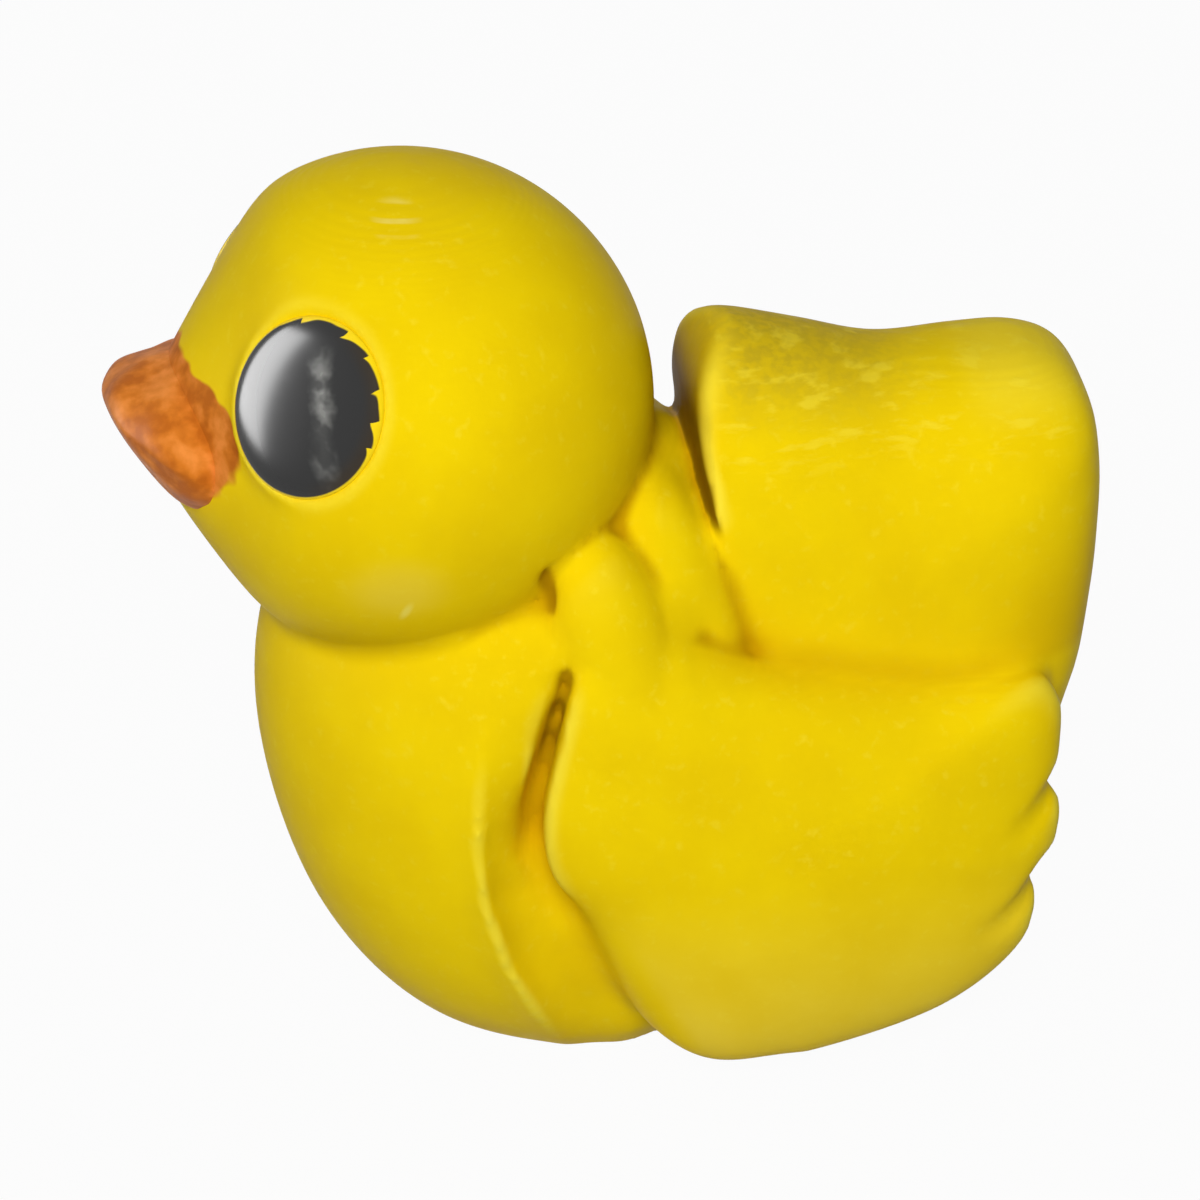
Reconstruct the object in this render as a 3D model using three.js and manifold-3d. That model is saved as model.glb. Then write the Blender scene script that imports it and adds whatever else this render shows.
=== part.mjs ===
// A small soft toy duck that stands on a flat base: one moulding for head, body, wings and tail,
// with a beak and two domed eyes set into it. Millimetres, +Z up, origin at the middle of the base.
// The duck faces -X, its left side is towards -Y, and both sides are alike.
import * as THREE from "three";
import { mergeVertices } from "three/addons/utils/BufferGeometryUtils.js";
import Module from "manifold-3d";

const wasm = await Module();
wasm.setup();

// Driving dimensions, in millimetres and degrees.
const SEAT_CLEARANCE = 0.3; // round each set-in piece

const BODY_LENGTH = 25.5;
const BODY_HEIGHT = 23.4;
const BODY_WIDTH = 16.4;
const SCOOP_DEPTH = 1.7; // of the hollow between breast and wing

const HEAD_RADIUS = 8.5;
const HEAD_FORWARD = 6.15; // from the middle of the base
const HEAD_SINK = 7.75; // overlap of head and body
const FACE_TAPER = 0.85; // depth of the flattened slope above and beside the beak
const CHIN_TAPER = 0.4; // the same below it
const FACE_SLOPE = 33; // of that slope's normal away from straight ahead

const WING_LENGTH = 18.2;
const WING_HEIGHT = 18;
const WING_LEAD = 2.5; // front of the wing ahead of the middle of the base
const WING_LIFT = 1.2; // lowest edge above the base
const WING_PROUD = 0.5; // crown beyond the side of the body
const WING_ROOT = 2; // from the middle plane to the wing's hidden side
const NOTCH_DEPTH = 0.7; // between the feather tips
const SHOULDER_LENGTH = 9.8; // of the rounded shoulder at the top of the wing's front
const SHOULDER_WIDTH = 4.2;
const SHOULDER_TILT = 20; // of its top towards the head
const SHOULDER_TOE = 7; // of its top towards the middle plane

const LOBE_LENGTH = 5.6; // of the rounded lobe across the back, between head and tail
const LOBE_WIDTH = 11;
const LOBE_HEIGHT = 10.8;
const LOBE_SETBACK = 2.1; // of its middle behind the middle of the base
const LOBE_SINK = 4.6; // of its middle below the body's top
const LOBE_TILT = 24; // of its top towards the head

const TAIL_LENGTH = 16.25;
const TAIL_HEIGHT = 17.75;
const TAIL_WIDTH = 10.2;
const TAIL_RISE = 3.2; // of the tail's top above the body's
const TAIL_SETBACK = 1.2; // of the uncut tail behind the middle of the base
const TAIL_FACE = 2.3; // cut off the front to leave its flat face
const TAIL_LEAN = 6.9; // of that face towards the head
const TAIL_CORNER = 2.2; // round of the face's top

const BEAK_LENGTH = 5;
const BEAK_HEIGHT = 5.45;
const BEAK_WIDTH = 8;
const BEAK_REACH = 1.45; // of the tip beyond the head
const BEAK_DROP = 0.525; // of the beak's middle below the head's

const EYE_WIDTH = 5.5;
const EYE_HEIGHT = 6;
const EYE_DOME = 0.55; // crown above the rim
const EYE_PLUG = 1.2; // depth behind the rim
const EYE_SINK = 0.35; // of the rim below the round of the head
const EYE_TURN = 59; // from straight ahead
const EYE_TOE = 6; // of its face towards the beak
const EYE_RAISE = 23.5; // above the middle of the head

const YELLOW = 0xf0d20a;
const ORANGE = 0xdd7823;
const BLACK = 0x1c1c1c;

const SIDES = [-1, 1];

const headCentre = new THREE.Vector3(-HEAD_FORWARD, 0, BODY_HEIGHT - HEAD_SINK + HEAD_RADIUS);
const torsoCentre = new THREE.Vector3(0.02 * BODY_LENGTH, 0, 0.53 * BODY_HEIGHT);

// A closed mesh as a solid that can be joined and cut.
function solidFrom(geometry) {
  geometry.deleteAttribute("normal");
  geometry.deleteAttribute("uv");
  const merged = mergeVertices(geometry, 1e-4);
  const triVerts = new Uint32Array(merged.index.array);
  return new wasm.Manifold(
    new wasm.Mesh({ numProp: 3, vertProperties: merged.attributes.position.array, triVerts }),
  );
}

function meshFrom(name, solid, color, roughness) {
  const made = solid.getMesh();
  const geometry = new THREE.BufferGeometry();
  geometry.setAttribute("position", new THREE.BufferAttribute(made.vertProperties, 3));
  geometry.setIndex(new THREE.BufferAttribute(made.triVerts, 1));
  geometry.computeVertexNormals();
  const mesh = new THREE.Mesh(geometry, new THREE.MeshStandardMaterial({ color, roughness, metalness: 0 }));
  mesh.name = name;
  return mesh;
}

// A smooth closed outline through points given as fractions of a box, clockwise from the left:
// along and up in side view, and where given, out as a fraction of depth away from the middle plane.
function sideOutline(points, { x, z, length, height, depth = 0 }) {
  const corners = points.map(
    ([along, up, out = 0]) => new THREE.Vector3(x + along * length, out * depth, z + up * height),
  );
  return new THREE.CatmullRomCurve3(corners, true, "centripetal");
}

// A unit sphere whose vertices are moved to place(turn, polar): turn runs 0 to 1 round the
// outline and polar 0 to pi from the +Y pole to the -Y pole.
function moulded(place, columns, rows) {
  const geometry = new THREE.SphereGeometry(1, columns, rows);
  const { position, uv } = geometry.attributes;
  for (let i = 0; i < position.count; i++) {
    const turn = THREE.MathUtils.euclideanModulo(uv.getX(i), 1);
    const point = place(turn, Math.PI * (1 - uv.getY(i)));
    position.setXYZ(i, point.x, point.y, point.z);
  }
  return solidFrom(geometry);
}

// An outline puffed out along Y as a superellipse. Its fullness may change round the rim: 2 is round,
// and more is boxier.
function puffed({ outline, centre, halfWidth, fullness = () => 2, grow = 0, columns, rows }) {
  return moulded((turn, polar) => {
    const rim = outline.getPointAt(turn);
    const tangent = outline.getTangentAt(turn);
    const power = 2 / fullness(rim);
    rim.x -= tangent.z * grow;
    rim.z += tangent.x * grow;
    const point = centre.clone().lerp(rim, Math.sin(polar) ** power);
    point.y = Math.sign(Math.cos(polar)) * Math.abs(Math.cos(polar)) ** power * (halfWidth + grow);
    return point;
  }, columns, rows);
}

// A form on one side of the duck: from its rim it swells out to one depth and in to another,
// which depends on height. Towards its middle the rim's shape gives way to an ellipse with the
// half axes of core.
function sideForm({ rim, centre, core, outer, inner, fullness, side, columns, rows }) {
  const power = 2 / fullness;
  return moulded((turn, polar) => {
    const edge = rim(side > 0 ? turn : (1 - turn) % 1);
    const ray = new THREE.Vector3(edge.x - centre.x, 0, edge.z - centre.z);
    const full = ray.length();
    ray.normalize();
    const round = 1 / Math.hypot(ray.x / core.x, ray.z / core.z);
    const spread = Math.sin(polar) ** power;
    const reach = spread * THREE.MathUtils.lerp(round, full, spread ** 2);
    const point = centre.clone().addScaledVector(ray, reach);
    const swell = Math.abs(Math.cos(polar)) ** power;
    const crown = Math.cos(polar) > 0 ? outer : inner(point.z);
    point.y = side * THREE.MathUtils.lerp(edge.y, crown, swell);
    return point;
  }, columns, rows);
}

// A rounded swelling of these half sizes, boxier as fullness goes up from 2 in side view and
// squareness from above. Its top leans towards the head, and towards the middle plane from side.
function swelling({ half, fullness, squareness = 2, tilt, toe = 0, side = 1, centre, columns, rows }) {
  const raised = (value, boxy) => Math.sign(value) * Math.abs(value) ** (2 / boxy);
  const geometry = new THREE.SphereGeometry(1, columns, rows);
  geometry.rotateX(Math.PI / 2);
  const { position } = geometry.attributes;
  for (let i = 0; i < position.count; i++) {
    const point = new THREE.Vector3().fromBufferAttribute(position, i);
    const level = Math.hypot(point.x, point.y);
    const spread = raised(level, fullness) / Math.max(level, 1e-9) ** (2 / squareness);
    position.setXYZ(
      i,
      half.x * spread * raised(point.x, squareness),
      half.y * spread * raised(point.y, squareness),
      half.z * raised(point.z, fullness),
    );
  }
  geometry.rotateY(THREE.MathUtils.degToRad(-tilt));
  geometry.rotateX(THREE.MathUtils.degToRad(side * toe));
  geometry.translate(centre.x, centre.y, centre.z);
  return solidFrom(geometry);
}

// A ball whose face tapers towards the beak: a cone round the forward axis takes its front off.
function headSolid() {
  const slope = THREE.MathUtils.degToRad(FACE_SLOPE);
  const softness = HEAD_RADIUS / 40;
  const geometry = new THREE.SphereGeometry(1, 36, 24);
  geometry.rotateX(Math.PI / 2);
  const { position } = geometry.attributes;
  for (let i = 0; i < position.count; i++) {
    const point = new THREE.Vector3().fromBufferAttribute(position, i).normalize();
    const below = Math.max(0, -point.z) / Math.max(Math.hypot(point.y, point.z), 1e-6);
    const taper = THREE.MathUtils.lerp(FACE_TAPER, CHIN_TAPER, below);
    const facing = Math.cos(Math.acos(-point.x) - slope);
    const flat = (HEAD_RADIUS - taper) / Math.max(facing, 0.2);
    const reach = -softness * Math.log(Math.exp(-HEAD_RADIUS / softness) + Math.exp(-flat / softness));
    point.multiplyScalar(reach).add(headCentre);
    position.setXYZ(i, point.x, point.y, point.z);
  }
  return solidFrom(geometry);
}

function torsoSolid() {
  const outline = sideOutline(
    [
      [-0.443, 0.556], [-0.408, 0.778], [-0.294, 0.936], [-0.118, 1], [0.039, 0.996], [0.118, 0.962],
      [0.161, 0.893], [0.204, 0.786], [0.314, 0.667], [0.451, 0.581], [0.557, 0.462], [0.557, 0.278],
      [0.431, 0.078], [0.216, -0.042], [0, -0.057], [-0.215, 0.024], [-0.365, 0.222],
    ],
    { x: 0, z: 0, length: BODY_LENGTH, height: BODY_HEIGHT },
  );
  return puffed({ outline, centre: torsoCentre, halfWidth: BODY_WIDTH / 2, columns: 34, rows: 20 });
}

// The hollow behind the breast's edge, which the wing's front edge overhangs. Its floor follows
// the torso's side and gets shallower towards the base.
function scoopCutter(side) {
  const floor = (z) => {
    const rise = Math.min(1, Math.abs(z - torsoCentre.z) / (0.62 * BODY_HEIGHT));
    const ease = THREE.MathUtils.lerp(0.4, 1, THREE.MathUtils.smoothstep(z, 0, 0.35 * BODY_HEIGHT));
    return (BODY_WIDTH / 2) * Math.sqrt(1 - rise ** 2) - SCOOP_DEPTH * ease;
  };
  const outline = sideOutline(
    [
      [-0.062, -0.03, 0.44], [-0.085, 0.081, 0.56], [-0.14, 0.242, 0.79], [-0.168, 0.363, 0.885],
      [-0.171, 0.453, 0.92], [-0.142, 0.59, 0.945], [-0.1, 0.692, 0.95], [-0.062, 0.78, 0.9],
      [0.06, 0.748, 1], [0.118, 0.513, 1.02], [0.118, 0.256, 0.86], [0.075, 0.043, 0.5],
      [0.03, -0.1, 0.37], [-0.02, -0.14, 0.35],
    ],
    { x: 0, z: 0, length: BODY_LENGTH, height: BODY_HEIGHT, depth: BODY_WIDTH / 2 },
  );
  return sideForm({
    rim: (turn) => outline.getPointAt(turn),
    centre: new THREE.Vector3(-0.02 * BODY_LENGTH, 0, 0.42 * BODY_HEIGHT),
    core: new THREE.Vector3(0.13 * BODY_LENGTH, 0, 0.36 * BODY_HEIGHT),
    outer: BODY_WIDTH,
    inner: floor,
    fullness: 2.6,
    side,
    columns: 28,
    rows: 12,
  });
}

// A drooping wing that lies on the side of the body, with notches between its feather tips
// and a rounded shoulder at its front that leans up to the head.
function wingSolid(side) {
  const crown = BODY_WIDTH / 2 + WING_PROUD;
  const notch = NOTCH_DEPTH / WING_LENGTH;
  const outline = sideOutline(
    [
      [0.071, 0.9, 0.84], [0.096, 0.967, 0.78], [0.16, 0.997, 0.72], [0.235, 0.968, 0.68],
      [0.29, 0.92, 0.66], [0.424, 0.839, 0.62], [0.593, 0.793, 0.6], [0.782, 0.761, 0.6], [0.952, 0.764, 0.6],
      [0.991, 0.711, 0.61], [0.993, 0.623, 0.63], [0.992 - notch, 0.551, 0.64], [0.999, 0.484, 0.65],
      [0.99, 0.415, 0.66], [0.984 - notch, 0.354, 0.67], [0.952, 0.287, 0.67], [0.932, 0.208, 0.68],
      [0.79, 0.093, 0.7], [0.463, 0.001, 0.7], [0.349, 0.001, 0.69], [0.292, 0.032, 0.68], [0.226, 0.092, 0.68],
      [0.082, 0.356, 0.79], [0.019, 0.481, 0.85], [0.008, 0.594, 0.88], [0.033, 0.734, 0.88],
    ],
    { x: -WING_LEAD, z: WING_LIFT, length: WING_LENGTH, height: WING_HEIGHT, depth: crown },
  );
  const leaf = sideForm({
    rim: (turn) => outline.getPoint(turn),
    centre: new THREE.Vector3(-WING_LEAD + 0.42 * WING_LENGTH, 0, WING_LIFT + 0.48 * WING_HEIGHT),
    core: new THREE.Vector3(0.42 * WING_LENGTH, 0, 0.42 * WING_HEIGHT),
    outer: crown,
    inner: () => WING_ROOT,
    fullness: 2.2,
    side,
    columns: 52,
    rows: 16,
  });
  const shoulder = swelling({
    half: new THREE.Vector3(SHOULDER_WIDTH / 2, SHOULDER_WIDTH / 2, SHOULDER_LENGTH / 2),
    fullness: 2.6,
    tilt: SHOULDER_TILT,
    toe: SHOULDER_TOE,
    side,
    centre: new THREE.Vector3(
      -WING_LEAD + 0.162 * WING_LENGTH,
      side * (crown - 0.678 * SHOULDER_WIDTH),
      WING_LIFT + 0.878 * WING_HEIGHT,
    ),
    columns: 20,
    rows: 14,
  });
  return leaf.add(shoulder);
}

function lobeSolid() {
  return swelling({
    half: new THREE.Vector3(LOBE_LENGTH / 2, LOBE_WIDTH / 2, LOBE_HEIGHT / 2),
    fullness: 2.4,
    squareness: 2.4,
    tilt: LOBE_TILT,
    centre: new THREE.Vector3(LOBE_SETBACK, 0, BODY_HEIGHT - LOBE_SINK),
    columns: 28,
    rows: 18,
  });
}

// A tall block, boxy at its ends and rounder towards its top. Its front is cut to a flat face that
// leans towards the head and is rounded over at its top.
function tailSolid() {
  const top = BODY_HEIGHT + TAIL_RISE;
  const outline = sideOutline(
    [
      [0.037, 0.318], [0, 0.572], [0, 0.825], [0.031, 0.955], [0.111, 1], [0.228, 0.994], [0.388, 0.955],
      [0.554, 0.915], [0.745, 0.913], [0.855, 0.91], [0.932, 0.879], [0.978, 0.814], [1, 0.707], [1, 0.555],
      [0.988, 0.411], [0.957, 0.239], [0.865, 0.059], [0.529, 0], [0.212, 0.076],
    ],
    { x: TAIL_SETBACK, z: top - TAIL_HEIGHT, length: TAIL_LENGTH, height: TAIL_HEIGHT },
  );
  const centre = new THREE.Vector3(TAIL_SETBACK + 0.505 * TAIL_LENGTH, 0, top - 0.518 * TAIL_HEIGHT);
  const fullness = (rim) => {
    const upward = (rim.z - centre.z) / (top - centre.z);
    return THREE.MathUtils.lerp(3.6, 2.2, THREE.MathUtils.smoothstep(upward, 0.55, 1));
  };
  const block = puffed({ outline, centre, halfWidth: TAIL_WIDTH / 2, fullness, columns: 48, rows: 20 });
  const face = TAIL_SETBACK + TAIL_FACE;
  const bend = top - TAIL_CORNER;
  const foot = top - 2 * TAIL_HEIGHT;
  const profile = new THREE.Shape();
  profile.moveTo(face - TAIL_LENGTH, foot);
  profile.lineTo(face + (bend - foot) * Math.tan(THREE.MathUtils.degToRad(TAIL_LEAN)), foot);
  profile.lineTo(face, bend);
  profile.absarc(face + TAIL_CORNER, bend, TAIL_CORNER, Math.PI, Math.PI / 2, true);
  profile.lineTo(face + TAIL_CORNER, top + TAIL_HEIGHT);
  profile.lineTo(face - TAIL_LENGTH, top + TAIL_HEIGHT);
  const cutter = new THREE.ExtrudeGeometry(profile, { depth: 2 * TAIL_WIDTH, bevelEnabled: false, curveSegments: 6 });
  cutter.rotateX(Math.PI / 2);
  cutter.translate(0, TAIL_WIDTH, 0);
  return block.subtract(solidFrom(cutter));
}

// The beak with its root, or with growth the socket that takes it.
function beakSolid(grow) {
  const tip = headCentre.x - HEAD_RADIUS - BEAK_REACH;
  const middle = headCentre.z - BEAK_DROP;
  const outline = sideOutline(
    [
      [0, 0.78], [0.04, 0.844], [0.12, 0.89], [0.32, 0.945], [0.55, 1], [0.9, 0.936], [1, 0.486],
      [0.9, 0.092], [0.58, 0], [0.39, 0.11], [0.15, 0.422], [0.024, 0.679],
    ],
    { x: tip, z: middle - BEAK_HEIGHT / 2, length: BEAK_LENGTH, height: BEAK_HEIGHT },
  );
  const centre = new THREE.Vector3(tip + 0.55 * BEAK_LENGTH, 0, middle);
  return puffed({ outline, centre, halfWidth: BEAK_WIDTH / 2, grow, columns: 28, rows: 14 });
}

// The direction from the middle of the head that is turned aside and raised by these angles.
function lookout(side, turnDegrees, raiseDegrees) {
  const turn = THREE.MathUtils.degToRad(turnDegrees);
  const raise = THREE.MathUtils.degToRad(raiseDegrees);
  const ahead = -Math.cos(turn) * Math.cos(raise);
  return new THREE.Vector3(ahead, side * Math.sin(turn) * Math.cos(raise), Math.sin(raise));
}

// A domed eye button, or with growth the socket that takes it.
function eyeSolid(side, grow) {
  const outward = lookout(side, EYE_TURN - EYE_TOE, EYE_RAISE);
  const across = new THREE.Vector3(0, 0, 1).cross(outward).normalize();
  const up = outward.clone().cross(across);
  const profile = [new THREE.Vector2(0, -EYE_PLUG - grow), new THREE.Vector2(1, -EYE_PLUG - grow)];
  const domeSteps = 6;
  const dome = EYE_DOME + grow;
  for (let i = 0; i < domeSteps; i++) {
    const angle = (Math.PI / 2) * (i / domeSteps);
    profile.push(new THREE.Vector2(Math.cos(angle), dome * Math.sin(angle)));
  }
  profile.push(new THREE.Vector2(0, dome));
  const geometry = new THREE.LatheGeometry(profile, 28);
  geometry.scale(EYE_WIDTH / 2 + grow, 1, EYE_HEIGHT / 2 + grow);
  geometry.applyMatrix4(new THREE.Matrix4().makeBasis(across.negate(), outward, up));
  const seat = Math.sqrt(HEAD_RADIUS ** 2 - (EYE_WIDTH / 2) ** 2) - EYE_SINK;
  const place = lookout(side, EYE_TURN, EYE_RAISE).multiplyScalar(seat).add(headCentre);
  geometry.translate(place.x, place.y, place.z);
  return solidFrom(geometry);
}

function floorCutter() {
  const deep = BODY_HEIGHT;
  const geometry = new THREE.BoxGeometry(4 * BODY_LENGTH, 4 * BODY_WIDTH, deep);
  geometry.translate(0, 0, -deep / 2);
  return solidFrom(geometry);
}

function bodySolid() {
  let body = torsoSolid();
  for (const side of SIDES) {
    body = body.subtract(scoopCutter(side));
  }
  body = body.add(headSolid()).add(lobeSolid()).add(tailSolid());
  for (const side of SIDES) {
    body = body.add(wingSolid(side));
  }
  body = body.subtract(beakSolid(SEAT_CLEARANCE));
  for (const side of SIDES) {
    body = body.subtract(eyeSolid(side, SEAT_CLEARANCE));
  }
  return body.subtract(floorCutter());
}

const duck = new THREE.Group();
duck.name = "toy_duck";
duck.add(meshFrom("duck_body", bodySolid(), YELLOW, 0.6));
duck.add(meshFrom("beak", beakSolid(0), ORANGE, 0.5));
duck.add(meshFrom("left_eye", eyeSolid(-1, 0), BLACK, 0.1));
duck.add(meshFrom("right_eye", eyeSolid(1, 0), BLACK, 0.1));

export default duck;
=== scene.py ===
"""A small soft toy duck: a yellow moulding with an orange beak and glossy black eyes, on a pale floor."""
import math

import bpy
import numpy as np
from mathutils import Matrix


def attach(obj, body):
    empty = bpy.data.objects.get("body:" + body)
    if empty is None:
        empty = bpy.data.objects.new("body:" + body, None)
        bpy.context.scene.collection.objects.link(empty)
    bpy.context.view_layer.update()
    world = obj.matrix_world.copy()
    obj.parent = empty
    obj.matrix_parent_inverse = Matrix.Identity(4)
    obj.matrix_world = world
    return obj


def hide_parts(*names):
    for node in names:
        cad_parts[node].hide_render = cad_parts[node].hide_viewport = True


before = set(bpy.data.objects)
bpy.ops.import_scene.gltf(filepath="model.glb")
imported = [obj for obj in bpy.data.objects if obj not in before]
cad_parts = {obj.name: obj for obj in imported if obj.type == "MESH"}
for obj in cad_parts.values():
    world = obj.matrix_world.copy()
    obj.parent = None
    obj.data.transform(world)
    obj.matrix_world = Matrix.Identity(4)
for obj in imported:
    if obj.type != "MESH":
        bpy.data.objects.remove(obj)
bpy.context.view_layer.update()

# Shapes are worked out in millimetres: the duck faces -X, its left side is towards -Y, +Z is up. Each
# shape's GRID holds its columns and rows.
MM = 0.001
SIDES = (-1, 1)
TINY = 1e-6
CURVE_STEPS = 60

TORSO_SIDE = [
    (-11.3, 13.0), (-10.4, 18.2), (-7.5, 21.9), (-3.0, 23.4), (1.0, 23.3), (3.0, 22.5), (4.1, 20.9),
    (5.2, 18.4), (8.0, 15.6), (11.5, 13.6), (14.2, 10.8), (14.2, 6.5), (11.0, 1.8), (5.5, -1.0),
    (0.0, -1.1), (-5.5, 0.7), (-9.3, 5.2),
]
TORSO_CENTRE = (0.5, 12.4)
TORSO_HALF_WIDTH = 8.2
TORSO_FULLNESS = 2
TORSO_GRID = (420, 240)

# Between breast and wing lies a shallow hollow, and in it a deeper slit along the wing. Each has its
# front edge (height, place), its depth (height, depth) and the width over which it sinks.
HOLLOW_EDGE = [
    (-1, -0.5), (1.9, -1.85), (5.7, -3.5), (8.5, -4.3), (10.6, -4.55), (13.0, -4.5), (15.0, -4.3),
    (19, -3.0),
]
HOLLOW_DEPTH = [
    (-1, 0.1), (1, 0.4), (3, 0.95), (5.5, 1.3), (8.5, 1.45), (11, 1.1), (13.5, 0.55), (15.5, 0.15),
    (17, 0.0),
]
HOLLOW_WIDTH = 2.0
HOLLOW_END = (4, 7)
RIDGE_HEIGHT = 0.27
RIDGE_WIDTH = 0.55
SLIT_EDGE = [
    (1, 0.7), (4.5, -0.5), (7.6, -2.5), (10.1, -3.5), (11.9, -3.4), (13.2, -3.15), (15.4, -2.65),
    (16.6, -2.25), (18.0, -1.9),
]
SLIT_DEPTH = [
    (-1, 0.9), (1, 0.8), (3, 0.4), (5, 0.15), (7, 0.25), (9, 0.65), (11, 1.2), (13, 1.55), (15, 1.65),
    (16.2, 1.45), (17.2, 0.85), (17.9, 0.0),
]
SLIT_WIDTH = 0.9
SLIT_SPREAD = 1.2
SLIT_SPREAD_HEIGHT = (1, 6)
# The slit's floor, which is painted darker as shade, from its top downwards on the right side, and where
# its mark rises.
SLIT_FLOOR = [
    (-1.5, 6.95, 17.1), (-1.59, 6.89, 16.53), (-1.71, 6.76, 15.86), (-1.79, 6.57, 15.13),
    (-2.03, 6.12, 14.09), (-2.18, 5.92, 13.13), (-2.4, 5.74, 11.99),
]
SLIT_FLOOR_WIDTH = 0.4
SLIT_FLOOR_HEIGHT = (12.5, 14.5)
# A short slit pressed in between head, breast and shoulder, from end to end on the right side.
NICK = [(-2.2, 6.6, 20.95), (-1.93, 6.45, 19.4)]
NICK_DEPTH = 0.2
NICK_WIDTH = 0.28

HEAD_CENTRE = np.array([-6.15, 0.0, 24.15])
HEAD_RADIUS = 8.5
HEAD_SOFTNESS = HEAD_RADIUS / 30
HEAD_GRID = (420, 211)
FACE_TAPER = 0.85
CHIN_TAPER = 0.4
FACE_SLOPE = math.radians(33)
FACE_LEAST = 0.2

EYE_WIDTH = 5.5
EYE_HEIGHT = 6.0
EYE_DOME = 0.55
EYE_PLUG = 0.9
EYE_SEAT = 7.69
EYE_TURN = math.radians(59)
EYE_FACING = math.radians(53)
EYE_RAISE = math.radians(23.5)
EYE_GRID = (96, 25)
EYE_BACK = ((1.0, -0.5 * EYE_PLUG), (0.98, -EYE_PLUG), (0.5, -EYE_PLUG), (0.0, -EYE_PLUG))
# Round an eye, with 1 at its rim: the dish of skin, the edge of the seat in it, and how deep these are.
DISH_WIDTH = 0.17
DISH_RIM = 0.03
DISH_REACH = -3
SOCKET_EDGE = (0.9, 0.98)
SOCKET_DEPTH = 0.3

# Along, up and out from the middle plane, round each wing's rim.
WING_RIM = [
    (-1.2, 17.4, 7.3), (-0.75, 18.6, 6.8), (0.4, 19.15, 6.25), (1.8, 18.6, 5.9), (2.8, 17.75, 5.75),
    (5.2, 16.3, 5.4), (8.3, 15.5, 5.2), (11.7, 14.9, 5.2), (14.8, 14.95, 5.2), (15.55, 14.0, 5.3),
    (15.6, 12.4, 5.5), (15.55, 11.1, 5.6), (15.65, 9.9, 5.65), (15.5, 8.7, 5.75), (15.1, 7.6, 5.8),
    (14.9, 6.4, 5.85), (14.45, 4.9, 5.9), (11.9, 2.75, 6.1), (5.9, 0.95, 6.1), (3.5, 0.8, 6.0),
    (2.35, 1.4, 5.9), (1.2, 2.65, 5.9), (-1.0, 7.6, 6.85), (-2.15, 9.85, 7.4), (-2.35, 11.9, 7.65),
    (-1.9, 14.4, 7.65),
]
WING_CENTRE = (5.15, 9.85)
WING_CORE = (7.6, 7.5)
WING_CROWN = 8.7
WING_ROOT = 2.0
WING_FULLNESS = 2.2
WING_GRID = (420, 161)
WING_OUTSIDE = (-0.2, 0.3)
# Grooves between the feather tips, from the rim inwards.
FEATHER_GROOVES = [
    [(15.9, 11.3), (14.9, 10.4), (14.2, 9.95), (13.4, 9.8)],
    [(15.4, 7.9), (14.5, 6.9), (13.6, 6.3), (12.4, 5.9)],
]
GROOVE_DEPTH = 0.5
GROOVE_WIDTH = 0.42
# A wing's lower front edge: a place on it, along and up, and how far it leans back going down.
WING_FRONT = (-2.3, 11.9)
WING_FRONT_LEAN = 0.5

# Rounded swellings: middle, half size along, out and up, lean towards the head and inwards, fullness in
# side view and from above.
SHOULDER = ((0.45, 5.85, 17.0), (2.1, 2.1, 4.9), 20, 0.12, 2.6, 2.0)
BACK_LOBE = ((1.48, 0.0, 17.0), (3.63, 5.9, 5.85), 20.7, 0.0, 3.1, 4.2)
SWELLING_GRID = (180, 121)

TAIL_SIDE = [
    (1.8, 14.5), (1.2, 19.0), (1.2, 23.5), (1.7, 25.8), (3.0, 26.6), (4.9, 26.5), (7.5, 25.8),
    (10.2, 25.1), (13.3, 25.05), (15.1, 25.0), (16.35, 24.45), (17.1, 23.3), (17.45, 21.4),
    (17.45, 18.7), (17.25, 16.15), (16.75, 13.1), (15.25, 9.9), (9.8, 8.85), (4.65, 10.2),
]
TAIL_CENTRE = (9.4, 17.4)
TAIL_TOP = 26.6
TAIL_HALF_WIDTH = 5.1
TAIL_FULLNESS = (3.6, 2.2)
TAIL_ROUNDING = (0.55, 1.0)
TAIL_GRID = (360, 200)
TAIL_VALLEY_DEPTH = 0.4
TAIL_VALLEY_PLACE = 10.2
TAIL_VALLEY_WIDTH = 2.3
TAIL_VALLEY_HEIGHT = (18.5, 24)
# The tail's flat front: height, place.
TAIL_FACE = [
    (14.0, 4.75), (18.3, 4.4), (20.7, 3.9), (22.9, 3.5), (24.4, 3.4), (25.2, 3.55), (25.8, 3.85),
    (26.3, 4.3), (26.6, 4.9), (26.75, 5.6),
]

BEAK_SIDE = [
    (-16.1, 25.15), (-15.9, 25.5), (-15.5, 25.75), (-14.5, 26.05), (-13.35, 26.3), (-11.6, 26.0),
    (-11.1, 23.55), (-11.4, 21.65), (-12.75, 21.25), (-13.95, 21.7), (-15.25, 23.35), (-15.95, 24.6),
]
BEAK_CENTRE = (-13.35, 23.7)
BEAK_HALF_WIDTH = 4.0
BEAK_FULLNESS = 1.9
BEAK_GRID = (160, 80)
BEAK_WAVE = 0.05

SKIN_VOXEL = 0.2
# How far a smoothing draws the skin's points towards their neighbours, step by step.
FIRST_PULLS = (0.5, 0.5, 0.5) + (0.5, -0.52) * 5
SOFT_PULLS = (0.6,) * 8
CREASE_PULLS = (0.6,) * 40
SHADE_PULLS = (0.6,) * 200
EDGE_ROUNDS = 4
VALLEY_ROUNDS = 3
VALLEY_DEPTH = (0.0, 0.05)
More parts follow.
